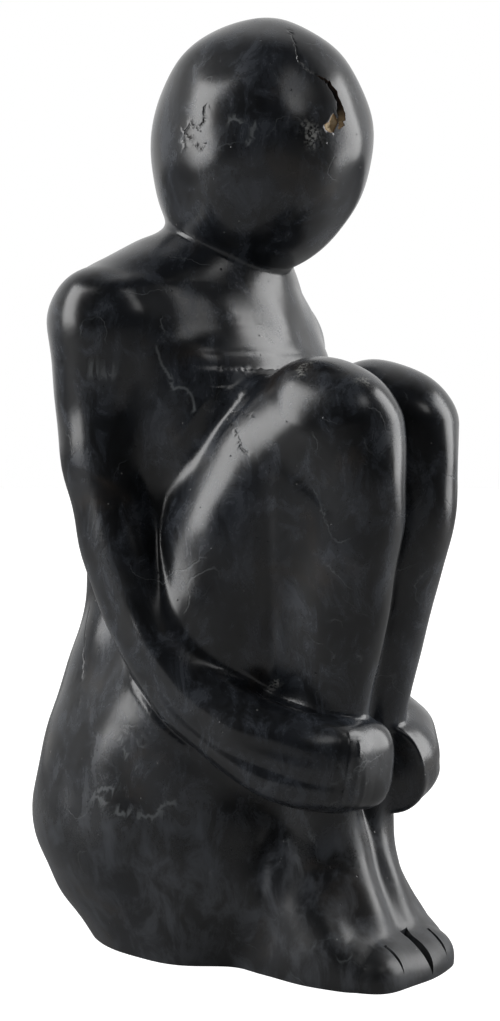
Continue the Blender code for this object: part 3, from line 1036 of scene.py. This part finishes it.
@dataclass
class SeatedFigure:
    """The carving itself: one piece of stone, from the rough block to the polish."""

    form: FigureForm = field(default_factory=FigureForm)
    relief: Relief = field(default_factory=Relief)
    toe_cuts: ToeCuts = field(default_factory=ToeCuts)
    fissure: Fissure = field(default_factory=Fissure)
    grains: tuple[float, ...] = (1.1, 0.6, 0.25)
    facets: int = 104000
    quick_grain: float = 0.42
    quick_facets: int = 50000
    sharp_degrees: float = 38.0

    def rough_block(self) -> Thing:
        """Balls along the limbs, a little smaller than the finished form.

        Returns:
            The block, of many balls.
        """
        work = bmesh.new()
        for centre, radius in self.form.lumps():
            place = Matrix.Translation(Vector(centre * SHARE))
            bmesh.ops.create_icosphere(work, subdivisions=2, radius=radius * SHARE, matrix=place)
        return object_of(work, "carved_figure")

    def even_out(self, block: Thing, grain: float) -> None:
        """Cover the block with even faces of the given size.

        Args:
            block: The stone.
            grain: The faces' size, in hundredths of the height.
        """
        cells = block.modifiers.new("even", "REMESH")
        cells.mode, cells.voxel_size = "VOXEL", grain * SHARE
        worked_in(block)

    def carve(self, mesh: Mesh, rounds: int) -> None:
        """Move every vertex along the field's slope until it lies on the form.

        Args:
            mesh: The stone's mesh.
            rounds: How many steps are taken.
        """
        points = corner_places(mesh) / SHARE
        level = self.form(points)
        slope = self.form.slope(points, level)
        for number in range(rounds):
            if number:
                level = self.form(points)
            points = points - np.clip(level, -3, 3)[:, None] * slope
        mesh.vertices.foreach_set("co", (points * SHARE).ravel())
        mesh.update()

    def soften(self, mesh: Mesh) -> None:
        """Even out the spacing of the vertices.

        Args:
            mesh: The stone's mesh.
        """
        every_way = dict.fromkeys(("use_axis_x", "use_axis_y", "use_axis_z"), True)
        with edited(mesh) as work:
            bmesh.ops.smooth_vert(work, verts=work.verts, factor=0.5, **every_way)

    def flat_base(self, mesh: Mesh) -> None:
        """Cut the stone off at the ground and close it with one flat face.

        Args:
            mesh: The stone's mesh.
        """
        with edited(mesh) as work:
            everything = work.verts[:] + work.edges[:] + work.faces[:]
            ground = {"plane_co": (0, 0, 0), "plane_no": (0, 0, -1), "dist": 1e-7}
            bmesh.ops.bisect_plane(work, geom=everything, clear_outer=True, **ground)
            bmesh.ops.holes_fill(work, edges=[edge for edge in work.edges if edge.is_boundary], sides=0)
            bmesh.ops.triangulate(work, faces=work.faces)

    def refine(self, mesh: Mesh, close: np.ndarray) -> None:
        """Halve the edges between the vertices that are marked as close to a stroke.

        Args:
            mesh: The stone's mesh.
            close: Yes or no for each vertex.
        """
        with edited(mesh) as work:
            work.verts.ensure_lookup_table()
            edges = [edge for edge in work.edges if all(close[vert.index] for vert in edge.verts)]
            bmesh.ops.subdivide_edges(work, edges=edges, cuts=1, use_grid_fill=True)
            bmesh.ops.triangulate(work, faces=[face for face in work.faces if len(face.verts) > 3])

    def chisel(self, mesh: Mesh) -> None:
        """Cut the relief into the surface, along its normals.

        Args:
            mesh: The stone's mesh.
        """
        points = corner_places(mesh) / SHARE
        normals = np.empty(len(mesh.vertices) * 3)
        mesh.vertices.foreach_get("normal", normals)
        height = self.relief.height(points) - self.form.under_arm(points)
        moved = points + normals.reshape(-1, 3) * height[:, None]
        mesh.vertices.foreach_set("co", (moved * SHARE).ravel())
        mesh.update()

    def cut(self, stone: Thing, tool: Thing) -> None:
        """Take a tool's shape away from the stone.

        Args:
            stone: What is cut.
            tool: What is taken away, and then removed.
        """
        taken = stone.modifiers.new("cut", "BOOLEAN")
        taken.operation, taken.solver, taken.object = "DIFFERENCE", "EXACT", tool
        worked_in(stone)
        bpy.data.objects.remove(tool)

    def mark(self, mesh: Mesh) -> None:
        """Keep the marks in the stone as attributes."""
        for mark, strength in self.relief.marks(corner_places(mesh) / SHARE).items():
            self.attribute(mesh, mark.value, strength)

    def mark_fissure(self, mesh: Mesh) -> None:
        """Keep how deep each place in the fissure is, and what belongs to the flake.

        Args:
            mesh: The stone's mesh.
        """
        points, head, fissure = corner_places(mesh) / SHARE, self.form.head, self.fissure
        offset = points - np.array(head.centre)
        front = (offset[:, 2] > -6) & (offset[:, 1] < -6) & (offset[:, 0] < 1)
        depth = np.zeros(len(points))
        below = self.relief.unevenness(points[front]) - head.form(points[front])
        depth[front] = np.clip(below - fissure.skin, 0, None) / fissure.crack_depth
        # the material uses this depth for the broken stone's roughness and for painted shade that blackens
        # the deep crack
        self.attribute(mesh, "raw", depth)
        apart = np.linalg.norm(head.surface(*fissure.flake_bottom)[0] - points, axis=1)
        self.attribute(mesh, "flake", falling(apart, *fissure.flake_reach))

    @staticmethod
    def attribute(mesh: Mesh, name: str, values: np.ndarray) -> None:
        """Store one number for each vertex under a name."""
        made = mesh.attributes.get(name) or mesh.attributes.new(name, "FLOAT", "POINT")
        made.data.foreach_set("value", values.astype(np.float32))

    def build(self) -> Thing:
        """Carve the block at a finer and finer grain, and set it where the part stands.

        Returns:
            The finished carving.
        """
        coarse, middle, fine = self.grains
        facets = self.facets
        block = self.rough_block()
        for grain, rounds in ((coarse, 3), (middle, 3), (fine, 2)):
            self.even_out(block, grain)
            self.carve(block.data, rounds)
        self.soften(block.data)
        self.carve(block.data, 1)
        count = triangles(block.data)
        if count > facets:
            fewer = block.modifiers.new("fewer", "DECIMATE")
            fewer.ratio = facets / count
            worked_in(block)
        self.relief.lay_on(self.form)
        for fine_only in (False, True, True):
            points = corner_places(block.data) / SHARE
            close = self.relief.close_to(points, fine_only)
            close |= self.form.under_arm(points) > 0.05
            self.refine(block.data, close)
        self.carve(block.data, 1)
        self.mark(block.data)
        self.chisel(block.data)
        self.flat_base(block.data)
        for tool in (*self.toe_cuts.tools(), *self.fissure.tools(self.form.head)):
            self.cut(block, tool)
        self.mark_fissure(block.data)
        self.place(block.data)
        block.data.shade_smooth()
        block.data.set_sharp_from_angle(angle=math.radians(self.sharp_degrees))
        logger.info("%s: %d triangles", block.name, triangles(block.data))
        return block

    def place(self, mesh: Mesh) -> None:
        """Bring the middle of the mesh's box over the middle of the part's box.

        Args:
            mesh: The stone's mesh.
        """
        places = corner_places(mesh)
        low, high = places.min(0), places.max(0)
        middle = (np.array(BEGIN) + np.array(END)) / 2 - (low + high) / 2
        middle[2] = BEGIN.z - low[2]
        mesh.vertices.foreach_set("co", (places + middle).ravel())
        mesh.update()


Feed = Socket | float | Spot | tuple[float, ...] | None
Feeds = dict[int | str, Feed]


@dataclass
class NodeSheet:
    """Puts nodes into one tree and joins them up."""

    tree: bpy.types.NodeTree

    def put(self, kind: str, feeds: Feeds | None = None, **settings: object) -> bpy.types.Node:
        """Add a node.

        Args:
            kind: The node's type.
            feeds: What goes into its inputs, by name or number: another socket or a constant.
            settings: Its other settings.

        Returns:
            The node.
        """
        node = self.tree.nodes.new(kind)
        for name, value in settings.items():
            setattr(node, name, value)
        for place, feed in (feeds or {}).items():
            self.feed(node.inputs[place], feed)
        return node

    def feed(self, socket: Socket, feed: Feed) -> None:
        """Join a socket to another one, or set it to a constant.

        Args:
            socket: The input.
            feed: What goes into it; None leaves it alone.
        """
        if isinstance(feed, Socket):
            self.tree.links.new(feed, socket)
        elif feed is not None:
            socket.default_value = feed

    def math(self, operation: str, *feeds: Feed, clamp: bool = False) -> Socket:
        """Work out one number."""
        node = self.put("ShaderNodeMath", dict(enumerate(feeds)), operation=operation, use_clamp=clamp)
        return node.outputs[0]

    def moved(self, operation: str, *feeds: Feed) -> Socket:
        """Work out one vector."""
        return self.put("ShaderNodeVectorMath", dict(enumerate(feeds)), operation=operation).outputs[0]

    def span(self, value: Feed, low: float, high: float, start: float = 0, end: float = 1) -> Socket:
        """Stretch the values between low and high to lie between start and end, with soft ends."""
        feeds = {"Value": value, "From Min": low, "From Max": high, "To Min": start, "To Max": end}
        return self.put("ShaderNodeMapRange", feeds, interpolation_type="SMOOTHSTEP").outputs["Result"]

    def noise(self, place: Feed, scale: Feed, detail: float, rough: float, bend: float = 0) -> Socket:
        """Cloudy noise, counted in waves to a hundredth of the height."""
        feeds = {"Vector": place, "Scale": scale, "Detail": detail, "Roughness": rough, "Distortion": bend}
        return self.put("ShaderNodeTexNoise", feeds).outputs["Fac"]

    def colour(self, share: Feed, first: Feed, second: Feed) -> Socket:
        """Mix two colours."""
        first, second = ((*c, 1.0) if isinstance(c, tuple) else c for c in (first, second))
        return self.put("ShaderNodeMix", {0: share, 6: first, 7: second}, data_type="RGBA").outputs[2]

    def mark(self, name: str) -> Socket:
        """A number that the mesh carries under this name."""
        return self.put("ShaderNodeAttribute", attribute_name=name).outputs["Fac"]


@dataclass
class SharedEffect:
    """A shader node group with its sheet, its own inputs and its outputs."""

    name: str
    inputs: dict[str, str]
    outputs: tuple[str, ...]

    def __post_init__(self) -> None:
        """Make the empty group."""
        self.tree = bpy.data.node_groups.new(self.name, "ShaderNodeTree")
        for name, kind in self.inputs.items():
            self.tree.interface.new_socket(name, in_out="INPUT", socket_type=f"NodeSocket{kind}")
        for name in self.outputs:
            self.tree.interface.new_socket(name, in_out="OUTPUT", socket_type="NodeSocketFloat")
        self.sheet = NodeSheet(self.tree)
        self.given = self.sheet.put("NodeGroupInput").outputs
        self.results = self.sheet.put("NodeGroupOutput").inputs

    def use(self, sheet: NodeSheet, **feeds: Feed) -> bpy.types.Node:
        """Put the effect into a material.

        Args:
            sheet: The material's sheet.
            feeds: What goes into the effect's inputs, by name.

        Returns:
            The effect's node.
        """
        node = sheet.put("ShaderNodeGroup", node_tree=self.tree)
        for name, feed in feeds.items():
            sheet.feed(node.inputs[name], feed)
        return node


class Veins(SharedEffect):
    """Thin wandering lines that come and go."""

    def __init__(self) -> None:
        """Build the group: the middle level of a bent noise, kept where a wider noise is high."""
        inputs = {"Vector": "Vector", "Scale": "Float", "Width": "Float", "Least": "Float"}
        super().__init__("stone_veins", inputs, ("Veins",))
        sheet, given = self.sheet, self.given
        feeds = {"Vector": given["Vector"], "Scale": 0.9, "Detail": 3, "Roughness": 0.6}
        bend = sheet.put("ShaderNodeTexNoise", feeds)
        bent = sheet.moved("MULTIPLY_ADD", bend.outputs["Color"], (1.1, 1.1, 1.1), given["Vector"])
        level = sheet.noise(bent, given["Scale"], 1, 0.4)
        apart = sheet.math("ABSOLUTE", sheet.math("SUBTRACT", level, 0.5))
        line = sheet.math("SUBTRACT", 1.0, sheet.math("DIVIDE", apart, given["Width"]), clamp=True)
        where = sheet.noise(sheet.moved("ADD", given["Vector"], (31, 7, 12)), 0.16, 2, 0.5)
        kept = sheet.math("MULTIPLY", sheet.math("SUBTRACT", where, given["Least"]), 14.0, clamp=True)
        sheet.feed(self.results["Veins"], sheet.math("MULTIPLY", line, kept))


class Mottling(SharedEffect):
    """The stone's clouds, its smaller blotches and brown patches, from large to small."""

    def __init__(self) -> None:
        """Build the group."""
        super().__init__("stone_mottling", {"Vector": "Vector"}, ("Clouds", "Blotches", "Brown", "Grain"))
        sheet, place = self.sheet, self.given["Vector"]
        drawn = sheet.moved("MULTIPLY", place, (1.0, 1.0, 0.62))
        clouds = sheet.noise(drawn, 0.095, 5, 0.62, 0.7)
        blotches = sheet.noise(drawn, 0.36, 6, 0.68, 0.5)
        brown = sheet.noise(sheet.moved("ADD", place, (5, 40, 3)), 0.13, 4, 0.6, 0.4)
        sheet.feed(self.results["Clouds"], sheet.span(clouds, 0.40, 0.66))
        sheet.feed(self.results["Blotches"], sheet.span(blotches, 0.42, 0.70))
        sheet.feed(self.results["Brown"], sheet.span(brown, 0.55, 0.72))
        sheet.feed(self.results["Grain"], sheet.noise(place, 3.2, 4, 0.7))


class Pits(SharedEffect):
    """Small round pits and specks, in a few of many cells."""

    def __init__(self) -> None:
        """Build the group."""
        inputs = {"Vector": "Vector", "Scale": "Float", "Share": "Float", "Size": "Float"}
        super().__init__("stone_pits", inputs, ("Pits",))
        sheet, given = self.sheet, self.given
        cells = sheet.put("ShaderNodeTexVoronoi", {"Vector": given["Vector"], "Scale": given["Scale"]})
        away = sheet.math("DIVIDE", cells.outputs["Distance"], given["Size"])
        inside = sheet.math("SUBTRACT", 1.0, away, clamp=True)
        drawn = sheet.put("ShaderNodeSeparateColor", {"Color": cells.outputs["Color"]}).outputs["Red"]
        chosen = sheet.math("LESS_THAN", drawn, given["Share"])
        sheet.feed(self.results["Pits"], sheet.math("MULTIPLY", inside, chosen))


@dataclass(frozen=True)
class PolishedStone:
    """Near-black stone with a satin polish, grey clouds and thin pale veins."""

    dark: Colour = (0.0042, 0.0047, 0.0055)
    body: Colour = (0.0105, 0.0120, 0.0150)
    cloud: Colour = (0.0350, 0.0400, 0.0490)
    dust: Colour = (0.0520, 0.0540, 0.0570)
    brown: Colour = (0.0230, 0.0185, 0.0150)
    vein: Colour = (0.130, 0.140, 0.145)
    pale: Colour = (0.200, 0.200, 0.190)
    cream: Colour = (0.420, 0.330, 0.210)
    ochre: Colour = (0.190, 0.105, 0.035)
    earth: Colour = (0.040, 0.020, 0.009)
    polished: float = 0.235
    dull: float = 0.52
    raw: float = 0.85
    dusty_heights: tuple[float, float] = (-4.0, 26.0)

    def shown(self, sheet: NodeSheet) -> Marks:
        """Work out how strongly each kind of mark shows, by name.

        Args:
            sheet: The material's sheet.

        Returns:
            A socket for each kind of mark.
        """
        place = sheet.put("ShaderNodeTexCoord").outputs["Object"]
        place = sheet.moved("MULTIPLY", place, (1 / SHARE,) * 3)
        shown = dict(Mottling().use(sheet, Vector=place).outputs.items())
        veins_of, pits_of = Veins(), Pits()
        beside = sheet.moved("ADD", place, (9, 3, 5))
        wide = veins_of.use(sheet, Vector=place, Scale=0.15, Width=0.008, Least=0.575).outputs[0]
        thin = veins_of.use(sheet, Vector=beside, Scale=0.30, Width=0.010, Least=0.60).outputs[0]
        veins = sheet.math("MAXIMUM", sheet.math("MULTIPLY", wide, 0.30), sheet.math("MULTIPLY", thin, 0.18))
        shown["veins"] = sheet.math("MAXIMUM", veins, sheet.math("MULTIPLY", sheet.mark("vein"), 0.50))
        beside = sheet.moved("ADD", place, (4, 4, 4))
        shown["specks"] = pits_of.use(sheet, Vector=place, Scale=0.8, Share=0.10, Size=0.10).outputs[0]
        shown["pits"] = pits_of.use(sheet, Vector=beside, Scale=1.3, Share=0.10, Size=0.16).outputs[0]
        height = sheet.put("ShaderNodeSeparateXYZ", {0: place}).outputs["Z"]
        shown["low"] = sheet.span(height, *self.dusty_heights, 1.0, 0.0)
        loose = sheet.span(shown["Grain"], 0.42, 0.60)
        shown["crumbs"] = sheet.math("MULTIPLY", sheet.mark("pale"), loose, clamp=True)
        shown["raw"] = sheet.mark("raw")
        shown["broken"] = sheet.span(shown["raw"], 0.004, 0.02)
        return shown

    def inside(self, sheet: NodeSheet, shown: Marks) -> Socket:
        """The colour of broken stone: earth in the crack, cream and ochre where the flake was; deeper in the
        crack it turns black, which is painted shade.

        Args:
            sheet: The material's sheet.
            shown: How strongly each kind of mark shows.

        Returns:
            The colour.
        """
        raw = shown["raw"]
        # painted shade: the broken stone goes from earth to black the deeper it lies in the crack
        inside = sheet.colour(sheet.span(raw, 0.02, 0.30), self.earth, self.dark)
        chip = sheet.colour(sheet.span(raw, 0.015, 0.09), self.ochre, self.cream)
        chip = sheet.colour(sheet.span(shown["Grain"], 0.50, 0.75, 0.0, 0.7), chip, self.ochre)
        inside = sheet.colour(sheet.mark("flake"), inside, chip)
        # painted shade: deeper still, the crack and the flake's pit turn black
        return sheet.colour(sheet.span(raw, 0.26, 0.55), inside, self.dark)

    def colour(self, sheet: NodeSheet, shown: Marks) -> Socket:
        """Lay the clouds, dust, veins, specks and cracks over the dark stone.

        Args:
            sheet: The material's sheet.
            shown: How strongly each kind of mark shows.

        Returns:
            The colour.
        """
        colour = sheet.colour(shown["Clouds"], self.dark, self.body)
        dust = sheet.math("MULTIPLY", shown["low"], sheet.span(shown["Blotches"], -0.3, 1.0, 0.0, 0.40))
        layers = (
            (sheet.math("MULTIPLY", shown["Blotches"], 0.8), self.cloud),
            (sheet.math("MULTIPLY", shown["Brown"], 0.6), self.brown),
            (dust, self.dust),
            (shown["veins"], self.vein),
            (sheet.math("MULTIPLY", shown["specks"], 0.8, clamp=True), self.pale),
            (sheet.math("MULTIPLY", shown["crumbs"], 0.8), self.pale),
            (sheet.math("MULTIPLY", sheet.mark("crack"), 0.8), self.dark),
            # the broken stone's own colours, with painted shade that turns the deep crack black
            (shown["broken"], self.inside(sheet, shown)),
        )
        for share, over in layers:
            colour = sheet.colour(share, colour, over)
        return colour

    def roughness(self, sheet: NodeSheet, shown: Marks) -> Socket:
        """Polished, but duller near the ground and on the blotches, veins and broken stone.

        Args:
            sheet: The material's sheet.
            shown: How strongly each kind of mark shows.

        Returns:
            The roughness.
        """
        wear = sheet.math("MULTIPLY_ADD", shown["low"], 0.55, sheet.math("MULTIPLY", shown["Blotches"], 0.35))
        wear = sheet.math("MAXIMUM", wear, sheet.math("MAXIMUM", shown["veins"], shown["crumbs"]), clamp=True)
        roughness = sheet.span(wear, 0.0, 1.0, self.polished, self.dull)
        roughness = sheet.math("MULTIPLY_ADD", sheet.math("SUBTRACT", shown["Grain"], 0.5), 0.10, roughness)
        return sheet.math("MAXIMUM", roughness, sheet.math("MULTIPLY", shown["broken"], self.raw))

    def bump(self, sheet: NodeSheet, shown: Marks) -> Socket:
        """The pits, the veins' slight edges and the grain of broken stone.

        Args:
            sheet: The material's sheet.
            shown: How strongly each kind of mark shows.

        Returns:
            The bent normal.
        """
        height = sheet.math("MULTIPLY_ADD", shown["Grain"], 0.10, sheet.math("MULTIPLY", shown["pits"], -1.0))
        height = sheet.math("MULTIPLY_ADD", shown["veins"], -0.25, height)
        coarse = sheet.math("MULTIPLY", shown["broken"], shown["Grain"])
        height = sheet.math("MULTIPLY_ADD", coarse, 2.5, height)
        feeds = {"Strength": 0.35, "Distance": 0.0006, "Height": height}
        return sheet.put("ShaderNodeBump", feeds).outputs["Normal"]

    def material(self) -> bpy.types.Material:
        """Make the stone's material.

        Returns:
            The material.
        """
        made = bpy.data.materials.new("polished_black_stone")
        made.use_nodes = True
        sheet, surface = NodeSheet(made.node_tree), made.node_tree.nodes["Principled BSDF"].inputs
        shown = self.shown(sheet)
        sheet.feed(surface["Base Color"], self.colour(sheet, shown))
        sheet.feed(surface["Roughness"], self.roughness(sheet, shown))
        sheet.feed(surface["Normal"], self.bump(sheet, shown))
        return made


@dataclass(frozen=True)
class Softbox:
    """A soft light: how far round from the camera it hangs and how high, its size and its power."""

    name: str
    turn_degrees: float
    rise_degrees: float
    size_metres: tuple[float, float]
    watts: float
    distance_metres: float = 1.3


@dataclass
class Studio:
    """A pale floor, two tall softboxes and a small one, a light surround and the camera."""

    turn_degrees: float = -51.0
    rise_degrees: float = 2.8
    distance_metres: float = 0.836
    aim_metres: Spot = (0, -0.0034, 0.2083)
    lens: float = 61.46
    floor_radius_metres: float = 6.0
    floor_grey: float = 0.32
    light_middle_metres: Spot = (0, 0, 0.22)       # what the softboxes face
    softboxes: tuple[Softbox, ...] = (
        Softbox("soft_light_left", -74, 26, (0.68, 1.25), 18.5),
        Softbox("soft_light_front", 32, 40, (0.3, 0.34), 0.8),
        Softbox("soft_light_right", 93, 22, (0.7, 1.3), 18),
    )
    dim_to_bright: tuple[float, float] = (0.03, 0.95)      # the surround, from the camera's side to behind

    @staticmethod
    def direction(turn_degrees: float, rise_degrees: float) -> Vector:
        """The direction from the figure to a place that far round and up."""
        a, e = math.radians(turn_degrees), math.radians(rise_degrees)
        return Vector((math.sin(a) * math.cos(e), -math.cos(a) * math.cos(e), math.sin(e)))

    def camera(self) -> None:
        """Put the camera at the photograph's viewing angle."""
        back = self.direction(self.turn_degrees, self.rise_degrees)
        data = bpy.data.cameras.new("camera")
        data.lens, data.sensor_width = self.lens, 36.0
        data.clip_start, data.clip_end = 0.01, 100
        camera = bpy.data.objects.new("camera", data)
        bpy.context.scene.collection.objects.link(camera)
        camera.location = Vector(self.aim_metres) + back * self.distance_metres
        camera.rotation_euler = back.to_track_quat("Z", "Y").to_euler()
        bpy.context.scene.camera = camera

    def hang(self, box: Softbox) -> None:
        """Hang one softbox, facing the figure.

        Args:
            box: The softbox.
        """
        data = bpy.data.lights.new(box.name, "AREA")
        data.shape, data.size, data.size_y, data.energy = "RECTANGLE", *box.size_metres, box.watts
        light = bpy.data.objects.new(box.name, data)
        bpy.context.scene.collection.objects.link(light)
        back = self.direction(self.turn_degrees + box.turn_degrees, box.rise_degrees)
        light.location = Vector(self.light_middle_metres) + back * box.distance_metres
        light.rotation_euler = back.to_track_quat("Z", "Y").to_euler()

    def surround(self) -> None:
        """White behind the figure, dim behind the camera, and plain white to look at."""
        world = bpy.data.worlds.new("surround")
        world.use_nodes = True
        sheet, background = NodeSheet(world.node_tree), world.node_tree.nodes["Background"].inputs
        place = sheet.put("ShaderNodeTexCoord").outputs["Generated"]
        feeds = {0: place, 1: -self.direction(self.turn_degrees, 0)}
        away = sheet.put("ShaderNodeVectorMath", feeds, operation="DOT_PRODUCT").outputs["Value"]
        fade = sheet.span(away, -0.2, 0.7, *self.dim_to_bright)
        seen = sheet.put("ShaderNodeLightPath").outputs["Is Camera Ray"]
        sheet.feed(background["Color"], (1, 1, 1, 1))
        sheet.feed(background["Strength"], sheet.math("MAXIMUM", seen, fade))
        bpy.context.scene.world = world

    def floor(self) -> None:
        """Lay a plain pale floor that the camera sees as white."""
        work = bmesh.new()
        bmesh.ops.create_circle(work, cap_ends=True, segments=96, radius=self.floor_radius_metres)
        floor = object_of(work, "floor")
        paper = bpy.data.materials.new("pale_floor")
        paper.use_nodes = True
        sheet, surface = NodeSheet(paper.node_tree), paper.node_tree.nodes["Principled BSDF"].inputs
        sheet.feed(surface["Base Color"], (*(self.floor_grey,) * 3, 1))
        sheet.feed(surface["Roughness"], 0.7)
        sheet.feed(surface["Emission Color"], (1, 1, 1, 1))
        sheet.feed(surface["Emission Strength"], sheet.put("ShaderNodeLightPath").outputs["Is Camera Ray"])
        floor.data.materials.append(paper)

    def build(self) -> None:
        """Set the studio up."""
        bpy.context.scene.view_settings.view_transform = "Standard"
        self.camera()
        for box in self.softboxes:
            self.hang(box)
        self.surround()
        self.floor()


def main() -> None:
    """Build the figure and the studio, and report each piece."""
    logging.basicConfig(level=logging.INFO, format="%(name)s: %(message)s")
    figure = SeatedFigure().build()
    figure.data.materials.clear()
    figure.data.materials.append(PolishedStone().material())
    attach(figure, "root")
    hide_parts(NODE)
    Studio().build()


if __name__ == "__main__":
    main()
